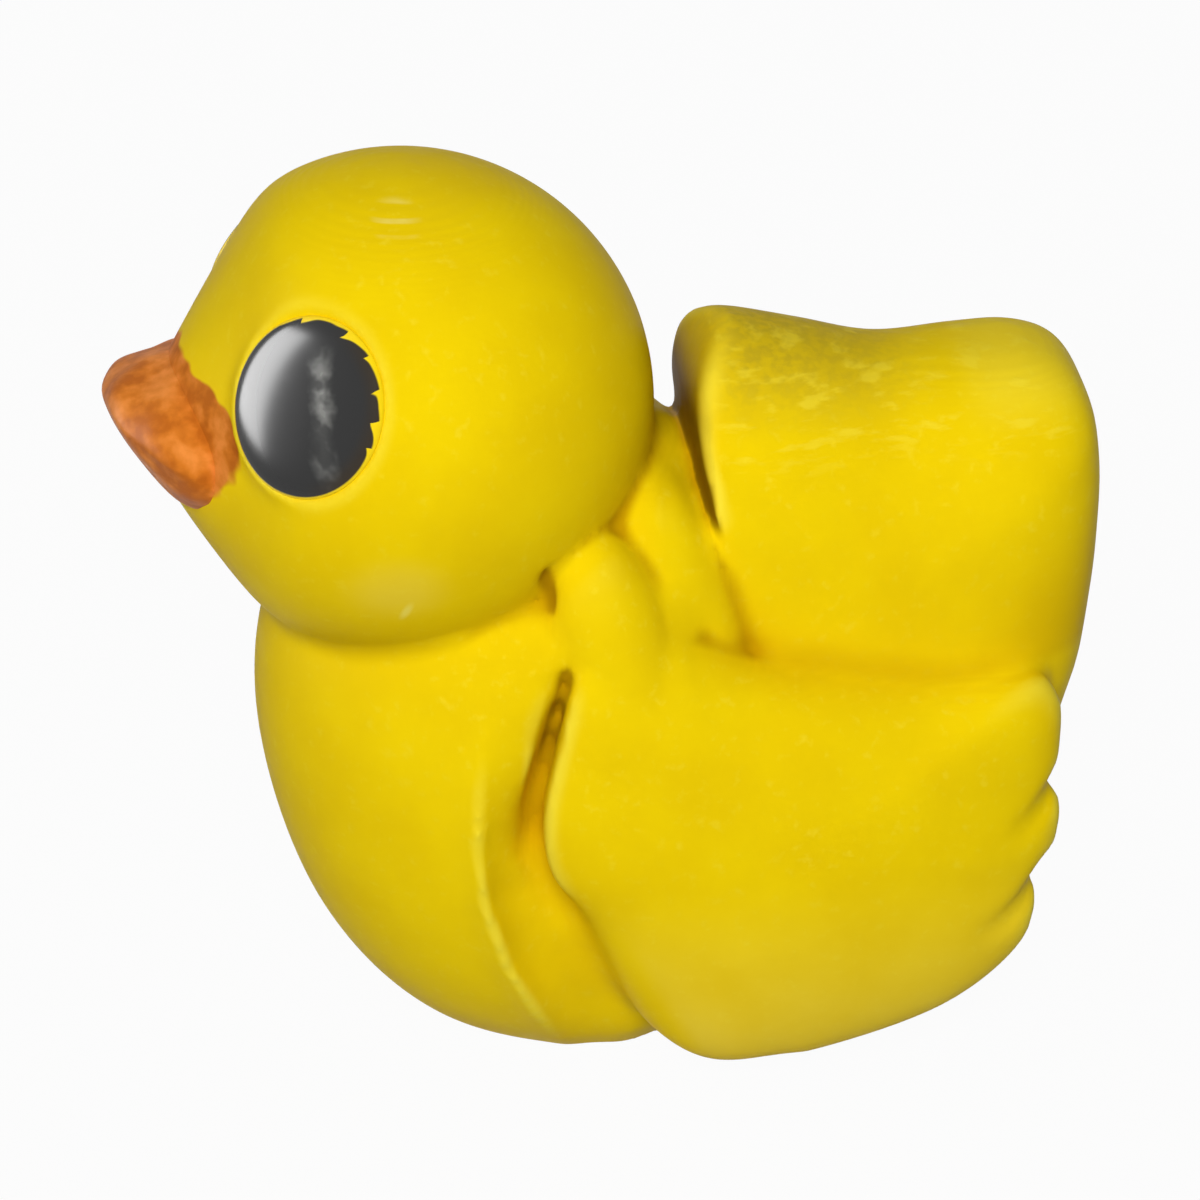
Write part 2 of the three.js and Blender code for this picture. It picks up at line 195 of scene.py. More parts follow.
# Zones of the skin: a share, then where it rises and falls along Z, and where along X. BEFORE and BEYOND
# lie outside the duck.
BEFORE = (-100, -99)
BEYOND = (99, 100)
KEPT_SLIT = (1.0, (9, 11), BEYOND, (-5, -4.5), (-1.2, -0.4))
KEPT_GAP = (1.0, (14.8, 15.8), BEYOND, (-3, -2), (5, 6))
SOFT_EDGE = (1.0, BEFORE, (7, 9.5), (-1.6, -0.8), (2.5, 4))
SOFT_ZONES = [
    (1.0, (9.5, 11), (16.2, 17.2), (-4.2, -3.8), (-3.3, -2.9)),
    (0.6, (14.2, 15), (17, 17.6), (-3.1, -2.8), (-1.9, -1.6)),
    (1.0, (22.5, 24.5), BEYOND, (2.2, 2.6), (6, 8)),
    (0.7, (17.5, 18.5), BEYOND, (1.8, 2.3), (3.6, 4.0)),
]
# The kept gap's lower end climbs towards the head from here on.
GAP_CLIMB_FROM = 2.4
GAP_CLIMB = 0.9

YELLOW = (0.87, 0.63, 0.002, 1)
YELLOW_DEEP = (0.81, 0.565, 0.002, 1)
# Painted shade in creases and folds.
YELLOW_CREASE = (0.53, 0.3, 0.001, 1)
# Pale yellow: the rubber's own pale grain and flecks, and also painted highlight on raised edges and on the
# tail's rear corner.
YELLOW_PALE = (0.91, 0.73, 0.04, 1)
# Painted shade in sunk places and at the tail's foot.
YELLOW_SHADE = (0.66, 0.42, 0.001, 1)
# Painted shade on the tail's top and in its dip.
YELLOW_TOP_SHADE = (0.575, 0.41, 0.012, 1)
# Painted reflection of the floor, low on the wing and on the chin.
YELLOW_FLOOR_REFLECTION = (0.85, 0.64, 0.065, 1)
# Painted shade, darkest, in deep creases and in the trench before the tail.
YELLOW_DARK = (0.2, 0.11, 0.001, 1)
# Painted shade on the slit's floor.
YELLOW_SLIT = (0.38, 0.205, 0.001, 1)
# Painted shade in the nick.
YELLOW_NICK = (0.36, 0.19, 0.001, 1)
# Painted glint arcs on the crown.
YELLOW_CROWN_GLINT = (0.95, 0.84, 0.25, 1)
YELLOW_GLINT = (0.95, 0.82, 0.15, 1)
YELLOW_SHEEN = (1.0, 0.8, 0.1, 1)
ORANGE = (0.62, 0.178, 0.016, 1)
ORANGE_DEEP = (0.47, 0.12, 0.008, 1)
ORANGE_PALE = (0.78, 0.26, 0.045, 1)
ORANGE_STOPS = [(0.1, ORANGE_DEEP), (0.5, ORANGE), (0.95, ORANGE_PALE)]
BLACK = (0.012, 0.012, 0.012, 1)
BROWN = (0.02, 0.011, 0.002, 1)
GREY = (0.22, 0.22, 0.205, 1)
FLOOR_GREY = (0.37, 0.37, 0.37, 1)
WHITE = (1, 1, 1, 1)

# Where the rubber's colour changes: the start and end of each change along X or Z. Besides the flecks,
# these place painted light: painted reflection of the floor low on the wing, painted shade on the tail's
# top, in its dip and at its foot, more round the lobe, in folds fuller above a height and in the trench,
# and a painted highlight on the tail's rear corner.
FLOOR_REFLECTION_FRONT = (-0.2, 0.8)
FLOOR_REFLECTION_HEIGHT = (1.0, 10.0)
TOP_SHADE_HEIGHT = (23.4, 26.0)
TOP_SHADE_FRONT = (3.0, 5.5)
TOP_SHADE_REAR = (9.0, 12.7)
DIP_PLACE = 8.6
DIP_SIZE = 2.6
DIP_HEIGHT = (22.8, 25.5)
CORNER_HEIGHT = (23.0, 24.8)
CORNER_FRONT = (12.0, 14.0)
FOOT_RISE = (14.7, 15.4)
FOOT_FALL = (15.5, 21.0)
FOOT_FRONT = (11.0, 16.0)
FLECK_HEIGHT = (22.0, 24.0)
FLECK_FRONT = (3.6, 4.6)
FLECK_FLATTENING = (1, 1, 3.5)
LOBE_HEIGHT = (15.0, 17.0)
LOBE_FRONT = (-1.5, -0.5)
LOBE_REAR = (4.5, 5.5)
FOLD_HEIGHT = (7.0, 11.0)
TRENCH_HEIGHT = (20.3, 21.3)
TRENCH_TOP = (23.5, 26.0)
TRENCH_FRONT = (2.8, 3.2)
TRENCH_REAR = (4.2, 4.6)
# Spots: the middle and half sizes along X and Z, or along X and Y on the crown. All are painted light: a
# painted reflection of the floor on the chin, a painted glint in it, and painted glint arcs on the crown.
CHIN = (-7.2, 21.2)
CHIN_SIZE = (1.9, 1.5)
GLINT = (-6.88, 20.22)
GLINT_LEAN = (0.354, 0.935)
GLINT_SIZE = (0.55, 0.2)
CROWN = (-6.5, -2.7)
CROWN_SIZE = (0.85, 1.25)
CROWN_HEIGHT = (27.0, 28.5)
# The fringe of paint round the beak: its middle's height, its rise to both sides, half sizes and back.
FRINGE_MIDDLE = 24.2
FRINGE_RISE = 0.13
FRINGE_SIZE = (5.0, 2.5)
FRINGE_EDGE = (0.97, 1.03)
FRINGE_BACK = (-10.5, -10.0)
# Heights of the fine level lines, and of the painted glint arcs along them on the crown.
LAYER = 0.17
CROWN_GLINT_LAYER = 0.28

# Features in a metre of each noise.
CLOUDS = 260
GRAIN = 2600
FLECKS = 900
LINE_WANDER = 420
CROWN_GLINT_WANDER = 300
CROWN_GLINT_PATCHES = 900
FRINGE_RAGS = 800
RUBBER_SHEEN = 1200
MOTTLE_COARSE = 900
MOTTLE_FINE = 2600
BRUSH_MARKS = 1400
BRUSH_SHEEN = 1500
TEETH_WANDER = 600
TEETH_PATCHES = 700
STREAK_RAGS = 900
STREAK_PATCHES = 1300

# How rough and how shiny each finish is, and how high its bump is in millimetres.
RUBBER_ROUGHNESS = 0.42
RUBBER_SPECULAR = 0.035
RUBBER_BUMP = 0.012
BEAK_ROUGHNESS = 0.4
BEAK_SPECULAR = 0.12
BEAK_BUMP = 0.05
EYE_ROUGHNESS = 0.5
EYE_IOR = 1.42
EYE_BUMP = 0.05
FLOOR_ROUGHNESS = 0.9

# On an eye, in half widths and half heights from its middle.
GLOSS_EDGE = (0.965, 0.985)
TEETH_COUNT = 2.3
TEETH_JITTER = 1.8
TEETH_SHARPNESS = 1.6
STREAK_PLACE = 0.285
STREAK_LEAN = 0.29
STREAK_JAG = 0.3
STREAK_WIDTH = 0.18
STREAK_DROP = 0.12

TARGET = np.array([0.585, 0.0, 15.964])
CAMERA_AZIMUTH = -8.0
CAMERA_RAISE = 29.0
CAMERA_DISTANCE = 230.0
CAMERA_NEAR = 0.01
SENSOR = 36
PIXEL = 0.0342
PICTURE = 1200

FLOOR_RINGS = np.array([0.0, 60.0, 400.0, 3000.0])
FLOOR_COLUMNS = 96
FLOOR_LEVEL = -0.02
FLOOR_WHITE = 0.96
WORLD_LIGHT = 0.08


def closed_curve(points, count):
    """A smooth closed line through points, as count places at even distances along it.

    Between two points it is a cubic whose end slopes come from both neighbours, weighed by the
    square roots of the distances between the points.
    """
    p1 = np.asarray(points, float)
    p0, p2, p3 = np.roll(p1, 1, 0), np.roll(p1, -1, 0), np.roll(p1, -2, 0)
    spans = ((p0, p1), (p1, p2), (p2, p3))
    d0, d1, d2 = (np.sqrt(np.linalg.norm(b - a, axis=1, keepdims=True)) for a, b in spans)
    m1 = ((p1 - p0) / d0 - (p2 - p0) / (d0 + d1) + (p2 - p1) / d1) * d1
    m2 = ((p2 - p1) / d1 - (p3 - p1) / (d1 + d2) + (p3 - p2) / d2) * d1
    t = np.linspace(0, 1, CURVE_STEPS, endpoint=False)[None, :, None]
    square = 3 * (p2 - p1) - 2 * m1 - m2
    cube = 2 * (p1 - p2) + m1 + m2
    fine = p1[:, None] + m1[:, None] * t + square[:, None] * t**2 + cube[:, None] * t**3
    fine = fine.reshape(-1, p1.shape[1])
    ring = np.vstack([fine, fine[:1]])
    run = np.concatenate([[0], np.cumsum(np.linalg.norm(np.diff(ring, axis=0), axis=1))])
    even = np.linspace(0, run[-1], count, endpoint=False)
    return np.stack([np.interp(even, run, ring[:, k]) for k in range(p1.shape[1])], axis=1)


def turns(count):
    """Angles at even steps, once round."""
    return np.linspace(0, 2 * np.pi, count, endpoint=False)


def poles(count):
    """A column of angles at even steps from pole to pole."""
    return np.linspace(0, np.pi, count)[:, None]


def raised(wave, power):
    """A sine or cosine raised to a power, with its sign kept."""
    return np.sign(wave) * np.abs(wave) ** power


def smoothstep(low, high, value):
    """0 below low, 1 above high, and the cubic 3 t^2 - 2 t^3 between them."""
    t = np.clip((value - low) / (high - low), 0, 1)
    return t * t * (3 - 2 * t)


def band(value, rise, fall):
    """1 between a rise and a fall, each from its start to its end by a smooth step, and 0 outside."""
    return smoothstep(*rise, value) * (1 - smoothstep(*fall, value))


def zone(x, z, share, z_rise, z_fall, x_rise, x_fall):
    """A share inside a band along Z and a band along X."""
    return share * band(z, z_rise, z_fall) * band(x, x_rise, x_fall)


def bell(distance, width):
    """1 at no distance, and less and less beyond a width: e to the minus square."""
    return np.exp(-((distance / width) ** 2))


def through(pairs, value):
    """Straight lines through (key, result) pairs."""
    keys, results = np.array(pairs, float).T
    return np.interp(value, keys, results)


def behind_wing_front(x, z):
    """How far a place lies behind the wing's lower front edge, for arrays and for a finish's axes."""
    return x - WING_FRONT[0] - (WING_FRONT[1] - z) * WING_FRONT_LEAN


def puffed(side, centre, half_width, fullness, columns, rows):
    """A side outline puffed out along Y: from pole to pole, the outline shrinks to its centre as
    the sine of the polar angle to the power 2 / fullness, and Y goes as its cosine to that power."""
    rim = closed_curve(side, columns)
    polar = poles(rows + 1)
    power = 2 / (fullness(rim) if callable(fullness) else fullness)
    spread = np.sin(polar).clip(0) ** power
    x = centre[0] + spread * (rim[:, 0] - centre[0])
    z = centre[1] + spread * (rim[:, 1] - centre[1])
    return np.stack([x, half_width * raised(np.cos(polar), power) + 0 * x, z], axis=-1)


def torso():
    """The puffed breast and back. Behind the hollow's edge its sides sink by depth times 1 - (1 - t)^2,
    where t runs from 0 at the edge to 1 a width behind it, and the slit adds its own depth by a
    smooth step. A low bell-shaped ridge follows the hollow's edge."""
    grid = puffed(TORSO_SIDE, TORSO_CENTRE, TORSO_HALF_WIDTH, TORSO_FULLNESS, *TORSO_GRID)
    x, y, z = np.moveaxis(grid, -1, 0)
    behind = x - through(HOLLOW_EDGE, z)
    t = np.clip(behind / HOLLOW_WIDTH, 0, 1)
    hollow = through(HOLLOW_DEPTH, z)
    ridge = RIDGE_HEIGHT * np.minimum(1, hollow) * bell(behind, RIDGE_WIDTH)
    depth = hollow * (1 - (1 - t) ** 2) - ridge
    width = SLIT_WIDTH + SLIT_SPREAD * (1 - smoothstep(*SLIT_SPREAD_HEIGHT, z))
    depth += through(SLIT_DEPTH, z) * smoothstep(0, 1, (x - through(SLIT_EDGE, z)) / width)
    depth *= 1 - smoothstep(*HOLLOW_END, x)
    grid[..., 1] = np.sign(y) * np.maximum(np.abs(y) - depth, 0)
    return grid


def lookout(side, turn, raise_):
    """The direction that is turned aside from straight ahead and raised by these angles."""
    level = math.cos(raise_)
    return np.array([-math.cos(turn) * level, side * math.sin(turn) * level, math.sin(raise_)])


def eye_axes(side):
    """An eye's middle, and its directions across, up and out of the head."""
    out = lookout(side, EYE_FACING, EYE_RAISE)
    across = np.cross([0, 0, 1], out)
    across /= np.linalg.norm(across)
    place = HEAD_CENTRE + EYE_SEAT * lookout(side, EYE_TURN, EYE_RAISE)
    return place, across, np.cross(out, across), out


def head():
    """A ball whose face is cut back by a cone round the forward axis: the distance from the middle is
    the softened lesser of the radius and (radius - taper) / cos(angle from the cone's normal). Round
    each eye the skin dips to the eye's rim like a dish, and inside the rim it sinks to a flat seat."""
    turn = turns(HEAD_GRID[0])[None, :]
    polar = poles(HEAD_GRID[1])
    ahead = np.sin(polar) * np.cos(turn)
    level = np.cos(polar) + 0 * turn
    rise = np.sin(polar) * np.sin(turn)
    below = np.maximum(0, -rise) / np.maximum(np.hypot(level, rise), TINY)
    taper = FACE_TAPER + (CHIN_TAPER - FACE_TAPER) * below
    facing = np.cos(np.arccos(np.clip(ahead, -1, 1)) - FACE_SLOPE)
    flat = (HEAD_RADIUS - taper) / np.maximum(facing, FACE_LEAST)
    reach = -HEAD_SOFTNESS * np.logaddexp(-HEAD_RADIUS / HEAD_SOFTNESS, -flat / HEAD_SOFTNESS)
    grid = HEAD_CENTRE + reach[..., None] * np.stack([-ahead, level, rise], axis=-1)
    for side in SIDES:
        place, across, up, out = eye_axes(side)
        offset = grid - place
        height = offset @ out
        ring = np.hypot(offset @ across / (EYE_WIDTH / 2), offset @ up / (EYE_HEIGHT / 2))
        dish = (DISH_RIM - height) * (1 - smoothstep(1.0, 1.0 + DISH_WIDTH, ring))
        seat = -SOCKET_DEPTH * (1 - smoothstep(*SOCKET_EDGE, ring))
        grid += np.where(height > DISH_REACH, dish + seat, 0)[..., None] * out
    return grid


def groove(line, x, z):
    """How near (x, z) lies to a line of points: a bell of the distance, fading along the line."""
    near = np.zeros_like(x)
    ends = np.array(line, float)
    steps = np.linalg.norm(np.diff(ends, axis=0), axis=1)
    start = np.concatenate([[0], np.cumsum(steps)])
    for (ax, az), (bx, bz), length, run in zip(ends[:-1], ends[1:], steps, start):
        t = np.clip(((x - ax) * (bx - ax) + (z - az) * (bz - az)) / length**2, 0, 1)
        apart = np.hypot(x - ax - t * (bx - ax), z - az - t * (bz - az))
        fade = 1 - (run + t * length) / start[-1]
        near = np.maximum(near, fade * bell(apart, GROOVE_WIDTH))
    return near


def wing(side):
    """A wing leaf: from its rim it swells out to the crown and in to the root as a superellipse of
    its fullness, and towards its middle the rim's shape gives way to an ellipse. Feather grooves sink
    its outside, and pull its rim in by the sixth power of the spread."""
    rim = closed_curve(WING_RIM, WING_GRID[0])
    polar = poles(WING_GRID[1])
    power = 2 / WING_FULLNESS
    ray = rim[:, :2] - np.array(WING_CENTRE)
    full = np.linalg.norm(ray, axis=1)
    ray /= full[:, None]
    round_ = 1 / np.hypot(ray[:, 0] / WING_CORE[0], ray[:, 1] / WING_CORE[1])
    spread = np.sin(polar).clip(0) ** power
    reach = spread * (round_ + (full - round_) * spread**2)
    x = WING_CENTRE[0] + reach * ray[:, 0]
    z = WING_CENTRE[1] + reach * ray[:, 1]
    swell = np.abs(np.cos(polar)) ** power
    crown = np.where(np.cos(polar) > 0, WING_CROWN, WING_ROOT)
    y = rim[:, 2] + (crown - rim[:, 2]) * swell
    sunk = sum(groove(line, x, z) for line in FEATHER_GROOVES)
    y = y - GROOVE_DEPTH * sunk * smoothstep(*WING_OUTSIDE, np.cos(polar))
    x = x - GROOVE_DEPTH * sunk * spread**6
    return np.stack([x, side * y, z], axis=-1)


def swelling(side, middle, half, lean, inward, fullness, squareness):
    """A superellipsoid: the sines and cosines of its polar angle go to the power 2 / fullness, and those
    of its turn to the power 2 / squareness. It is turned about Y so that its top leans towards the
    head, and sheared so that its top goes inwards."""
    turn = turns(SWELLING_GRID[0])[None, :]
    polar = poles(SWELLING_GRID[1])
    across = raised(np.sin(polar), 2 / fullness)
    aside = half[0] * across * raised(np.cos(turn), 2 / squareness)
    out = half[1] * across * raised(np.sin(turn), 2 / squareness)
    up = half[2] * raised(np.cos(polar), 2 / fullness) + 0 * turn
    tip = math.radians(lean)
    x = middle[0] + aside * math.cos(tip) - up * math.sin(tip)
    z = middle[2] + aside * math.sin(tip) + up * math.cos(tip)
    return np.stack([x, side * (middle[1] + out - inward * up), z], axis=-1)


def tail_fullness(rim):
    """The tail's fullness round its side outline: it goes from the first to the second near the top."""
    upward = np.clip((rim[:, 1] - TAIL_CENTRE[1]) / (TAIL_TOP - TAIL_CENTRE[1]), 0, 1)
    return TAIL_FULLNESS[0] + (TAIL_FULLNESS[1] - TAIL_FULLNESS[0]) * smoothstep(*TAIL_ROUNDING, upward)


def tail():
    """The puffed tail block: full towards its front and rear, rounder towards its top, with its front
    pressed flat against the leaning face and a shallow bell-shaped valley down each side."""
    grid = puffed(TAIL_SIDE, TAIL_CENTRE, TAIL_HALF_WIDTH, tail_fullness, *TAIL_GRID)
    x, y, z = np.moveaxis(grid, -1, 0)
    valley = TAIL_VALLEY_DEPTH * bell(x - TAIL_VALLEY_PLACE, TAIL_VALLEY_WIDTH)
    valley = valley * smoothstep(*TAIL_VALLEY_HEIGHT, z)
    grid[..., 1] = y - np.clip(y, -valley, valley)
    grid[..., 0] = np.maximum(x, through(TAIL_FACE, z))
    return grid


def beak():
    """The puffed beak, with low waves of a hand-finished surface: sums of sines along its normal."""
    grid = puffed(BEAK_SIDE, BEAK_CENTRE, BEAK_HALF_WIDTH, BEAK_FULLNESS, *BEAK_GRID)
    x, y, z = np.moveaxis(grid, -1, 0)
    wave = np.sin(2.3 * x + 1.7 * z + 0.6) * np.sin(2.1 * y - 1.1 * z)
    wave = wave + 0.6 * np.sin(3.7 * z - 2.9 * y + 1.3 * x)
    away = grid - np.array([BEAK_CENTRE[0], 0, BEAK_CENTRE[1]])
    away /= np.maximum(np.linalg.norm(away, axis=-1, keepdims=True), TINY)
    return grid + BEAK_WAVE * wave[..., None] * away


def eye(side):
    """A domed button: a quarter ellipse from its crown to its rim, then a straight plug to a flat back."""
    place, across, up, out = eye_axes(side)
    arc = np.linspace(0, np.pi / 2, EYE_GRID[1])
    back_radius, back_height = np.array(EYE_BACK).T
    radius = np.concatenate([np.sin(arc), back_radius])[:, None]
    height = np.concatenate([EYE_DOME * np.cos(arc), back_height])[:, None, None]
    turn = turns(EYE_GRID[0])
    flat_x = radius * np.cos(turn) * EYE_WIDTH / 2
    flat_y = radius * np.sin(turn) * EYE_HEIGHT / 2
    return place + flat_x[..., None] * across + flat_y[..., None] * up + height * out


def strips(row, beside):
    """Two triangles for each step along and between the rows of a closed grid of point numbers."""
    a, b, c, d = row[:-1].ravel(), row[1:].ravel(), beside[1:].ravel(), beside[:-1].ravel()
    return np.vstack([np.stack([a, b, c], 1), np.stack([a, c, d], 1)])


def shell(grid):
    """A grid's vertices and triangles, with its first and last rows closed to single points."""
    rows, columns = grid.shape[:2]
    points = np.vstack([grid[:1, 0], grid[1:-1].reshape(-1, 3), grid[-1:, 0]])
    last = len(points) - 1
    row = (1 + columns * np.arange(rows - 2))[:, None] + np.arange(columns)
    beside = np.roll(row, -1, axis=1)
    top = np.stack([np.zeros(columns, int), row[0], beside[0]], 1)
    bottom = np.stack([np.full(columns, last), beside[-1], row[-1]], 1)
    return points, np.vstack([top, strips(row, beside), bottom])


def outwards(points, faces):
    """The same triangles, turned round if the volume that they enclose comes out negative."""
    a, b, c = points[faces[:, 0]], points[faces[:, 1]], points[faces[:, 2]]
    volume = np.einsum("ij,ij->i", a, np.cross(b, c)).sum()
    return faces if volume > 0 else faces[:, ::-1]


def new_mesh(name, points, faces):
    """A smooth-shaded mesh from arrays of points and faces."""
    mesh = bpy.data.meshes.new(name)
    mesh.from_pydata(points, [], faces)
    mesh.polygons.foreach_set("use_smooth", np.ones(len(mesh.polygons), bool))
    mesh.update()
    return mesh


def add_object(name, data):
    """An object in the scene with a mesh, a camera or a lamp as its data."""
    made = bpy.data.objects.new(name, data)
    bpy.context.scene.collection.objects.link(made)
    return made


def add_piece(name, points, faces, material, node):
    """A piece in metres that rides on the duck, stands for a CAD node and takes a finish."""
    piece = add_object(name, new_mesh(name, points * MM, faces))
    piece.data.materials.append(material)
    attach(piece, "root")
    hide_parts(node)
    return piece


def near_line(points, line, width):
    """How near points lie to a line of places on either side of the duck: a bell of the distance."""
    apart = np.full(len(points), np.inf)
    for start, end in zip(np.array(line[:-1]), np.array(line[1:])):
        offset = points * np.where(points[:, 1:2] < 0, (1, -1, 1), 1) - start
        t = np.clip(offset @ (end - start) / ((end - start) @ (end - start)), 0, 1)
        apart = np.minimum(apart, np.linalg.norm(offset - t[:, None] * (end - start), axis=1))
    return bell(apart, width)


class Skin:
    """The four-sided faces of a skin and its neighbouring points, to smooth and measure it by."""

    def __init__(self, quads, count):
        self.quads = quads
        self.count = count
        ends = np.vstack([quads[:, [k, (k + 1) % 4]] for k in range(4)])
        self.here, self.there = np.ascontiguousarray(np.vstack([ends, ends[:, ::-1]]).T)
        self.share = np.bincount(self.here, minlength=count)[:, None]

    def drawn(self, points, pulls):
        """Points drawn towards the mean of their neighbours, once by each pull."""
        for pull in pulls:
            sums = [np.bincount(self.here, points[self.there, k], self.count) for k in range(3)]
            points = points + pull * (np.stack(sums, 1) / self.share - points)
        return points

    def normals(self, points):
        """At each point, the sum of its faces' normals, made one long."""
        a, b, c, d = (points[self.quads[:, corner]] for corner in range(4))
        across = np.cross(c - a, d - b)
        corners = self.quads.T
        sums = [sum(np.bincount(at, across[:, k], self.count) for at in corners) for k in range(3)]
        return np.stack(sums, 1) / np.linalg.norm(sums, axis=0)[:, None]

    def sunk(self, points, pulls):
        """Where pulls draw the points, and how far along their normals that is."""
        moved = self.drawn(points, pulls)
        return moved, np.einsum("ij,ij->i", moved - points, self.normals(points))


def voxel_skin(shells):
    """The points and four-sided faces of one skin round all the shells, joined on a grid of voxels."""
    points, faces, count = [], [], 0
    for grid in shells:
        some, theirs = shell(grid)
        points.append(some)
        faces.append(outwards(some, theirs) + count)
        count += len(some)
    source = add_object("moulding_source", new_mesh("moulding_source", np.vstack(points), np.vstack(faces)))
    remesh = source.modifiers.new("skin", "REMESH")
    remesh.mode = "VOXEL"
    remesh.voxel_size = SKIN_VOXEL
    graph = bpy.context.evaluated_depsgraph_get()
    joined = bpy.data.meshes.new_from_object(source.evaluated_get(graph))
    bpy.data.objects.remove(source)
    place = np.empty(3 * len(joined.vertices))
    joined.vertices.foreach_get("co", place)
    corners = np.empty(len(joined.loops), int)
    joined.loops.foreach_get("vertex_index", corners)
    bpy.data.meshes.remove(joined)
    return place.reshape(-1, 3), corners.reshape(-1, 4)


def moulding(shells):
    """One skin round all the shells: they are joined on a fine grid of voxels, and each point is then
    drawn towards the mean of its neighbours, back and forth so that the whole doesn't shrink. Valleys
    other than the slit and the gap before the tail are then rounded out, as are the soft zones. The
    nick is pressed in, and what lies below the base is pressed flat onto it.

    Six marks come with each point: how near it lies to the nick and to the slit's floor, its crease and
    its shade, which are how far it lies below a more and a much more smoothed skin, and its facing and
    its level, which are the forward and the upward part of its normal."""
    place, quads = voxel_skin(shells)
    skin = Skin(quads, len(place))
    place = skin.drawn(place, FIRST_PULLS)
    x, _, z = place.T
    kept_slit = zone(x, z, *KEPT_SLIT)
    kept_gap = zone(x, z - GAP_CLIMB * np.maximum(GAP_CLIMB_FROM - x, 0), *KEPT_GAP)
    soft_edge = zone(behind_wing_front(x, z), z, *SOFT_EDGE)
    soft_zones = [soft_edge] + [zone(x, z, *soft) for soft in SOFT_ZONES]
    for _ in range(EDGE_ROUNDS):
        place = place + soft_edge[:, None] * (skin.drawn(place, SOFT_PULLS) - place)
    for _ in range(VALLEY_ROUNDS):
        moved, depth = skin.sunk(place, SOFT_PULLS)
        valley = smoothstep(*VALLEY_DEPTH, depth) * (1 - kept_slit) * (1 - kept_gap)
        share_moved = np.maximum.reduce([valley] + soft_zones)
        place = place + share_moved[:, None] * (moved - place)
    nick = near_line(place, NICK, NICK_WIDTH)
    place = place - NICK_DEPTH * nick[:, None] * skin.normals(place)
    forward, _, level = np.ascontiguousarray(skin.normals(place).T)
    marks = {
        "nick": nick,
        "slit": near_line(place, SLIT_FLOOR, SLIT_FLOOR_WIDTH) * smoothstep(*SLIT_FLOOR_HEIGHT, z),
        "crease": skin.sunk(place, CREASE_PULLS)[1],
        "shade": skin.sunk(place, SHADE_PULLS)[1],
        "facing": -forward,
        "level": level,
    }
    place[:, 2] = np.maximum(place[:, 2], 0)
    return place, quads, marks


class Socket:
    """An output of a node, with arithmetic that adds Math nodes. With no output it stands for the
    whole tree, to make a first node from."""

    def __init__(self, tree, out=None):
        self.tree = tree
        self.out = out

    def node(self, kind, settings=None, inputs=None, output=0):
        """A new node: settings first, then the values or links of its inputs; gives one output."""
        made = self.tree.nodes.new(kind)
        for key, value in (settings or {}).items():
            if key == "stops":
                ramp = made.color_ramp.elements
                while len(ramp) < len(value):
                    ramp.new(0.5)
                for stop, (at, colour) in zip(ramp, value):
                    stop.position = at
                    stop.color = colour
            else:
                setattr(made, key, value)
        for key, value in (inputs or {}).items():
            if isinstance(value, Socket):
                self.tree.links.new(value.out, made.inputs[key])
            else:
                made.inputs[key].default_value = value
        return Socket(self.tree, made.outputs[output])

    def math(self, operation, *others):
        return self.node("ShaderNodeMath", {"operation": operation}, dict(enumerate((self, *others))))

    def __add__(self, other):
        return self.math("ADD", other)

    def __radd__(self, other):
        return self.math("ADD", other)

    def __sub__(self, other):
        return self.math("SUBTRACT", other)

    def __rsub__(self, other):
        return self.node("ShaderNodeMath", {"operation": "SUBTRACT"}, {0: other, 1: self})

    def __mul__(self, other):
        return self.math("MULTIPLY", other)

    def __rmul__(self, other):
        return self.math("MULTIPLY", other)

    def __truediv__(self, other):
        return self.math("DIVIDE", other)

    def __pow__(self, other):
        return self.math("POWER", other)

    def size(self):
        return self.math("ABSOLUTE")

    def step(self, low, high):
        """0 below low, 1 above high, smooth between."""
        inputs = {"Value": self, "From Min": low, "From Max": high}
        return self.node("ShaderNodeMapRange", {"interpolation_type": "SMOOTHSTEP"}, inputs)

    def band(self, rise, fall):
        """1 between a rise and a fall, each from its start to its end, and 0 outside."""
        return self.step(*rise) * (1 - self.step(*fall))

    def blend(self, low, high):
        """A colour between low and high by this value."""
        return self.node("ShaderNodeMix", {"data_type": "RGBA"}, {0: self, 6: low, 7: high}, 2)

    def noise(self, scale, detail=3.0, rough=0.5):
        """Noise at these coordinates with so many features in a metre, about 0.5 in the mean."""
        inputs = {"Vector": self, "Scale": scale, "Detail": detail, "Roughness": rough}
        return self.node("ShaderNodeTexNoise", inputs=inputs)

    def bump(self, strength, distance):
        """A normal from this height, with a distance in millimetres."""
        inputs = {"Strength": strength, "Distance": distance * MM, "Height": self}
        return self.node("ShaderNodeBump", inputs=inputs)

    def mark(self, name):
        """A value that the moulding carries at its points."""
        return self.node("ShaderNodeAttribute", {"attribute_name": name}, output="Fac")


def radius(u, v):
    """The distance of (u, v) from the middle."""
    return (u * u + v * v) ** 0.5


def link(value, shader, name):
    """Feeds an input of a shader."""
    value.tree.links.new(value.out, shader.inputs[name])


def finish(name):
    """A new material: its Object coordinates, their X, Y and Z in millimetres, and its shader."""
    material = bpy.data.materials.new(name)
    material.use_nodes = True
    tree = material.node_tree
    where = Socket(tree).node("ShaderNodeTexCoord", output="Object")
    parts = where.node("ShaderNodeSeparateXYZ", inputs={0: where}).out.node
    axes = [Socket(tree, parts.outputs[k]) * (1 / MM) for k in range(3)]
    return material, tree.nodes["Principled BSDF"], where, axes


def orange_paint(where):
    """Uneven hand-applied orange: coarse and fine noise between a deep and a pale orange."""
    coarse = where.noise(MOTTLE_COARSE, 2.0).step(0.36, 0.66)
    fine = where.noise(MOTTLE_FINE).step(0.3, 0.75)
    mottle = coarse * 0.65 + fine * 0.35
    return mottle.node("ShaderNodeValToRGB", {"stops": ORANGE_STOPS}, {"Fac": mottle})


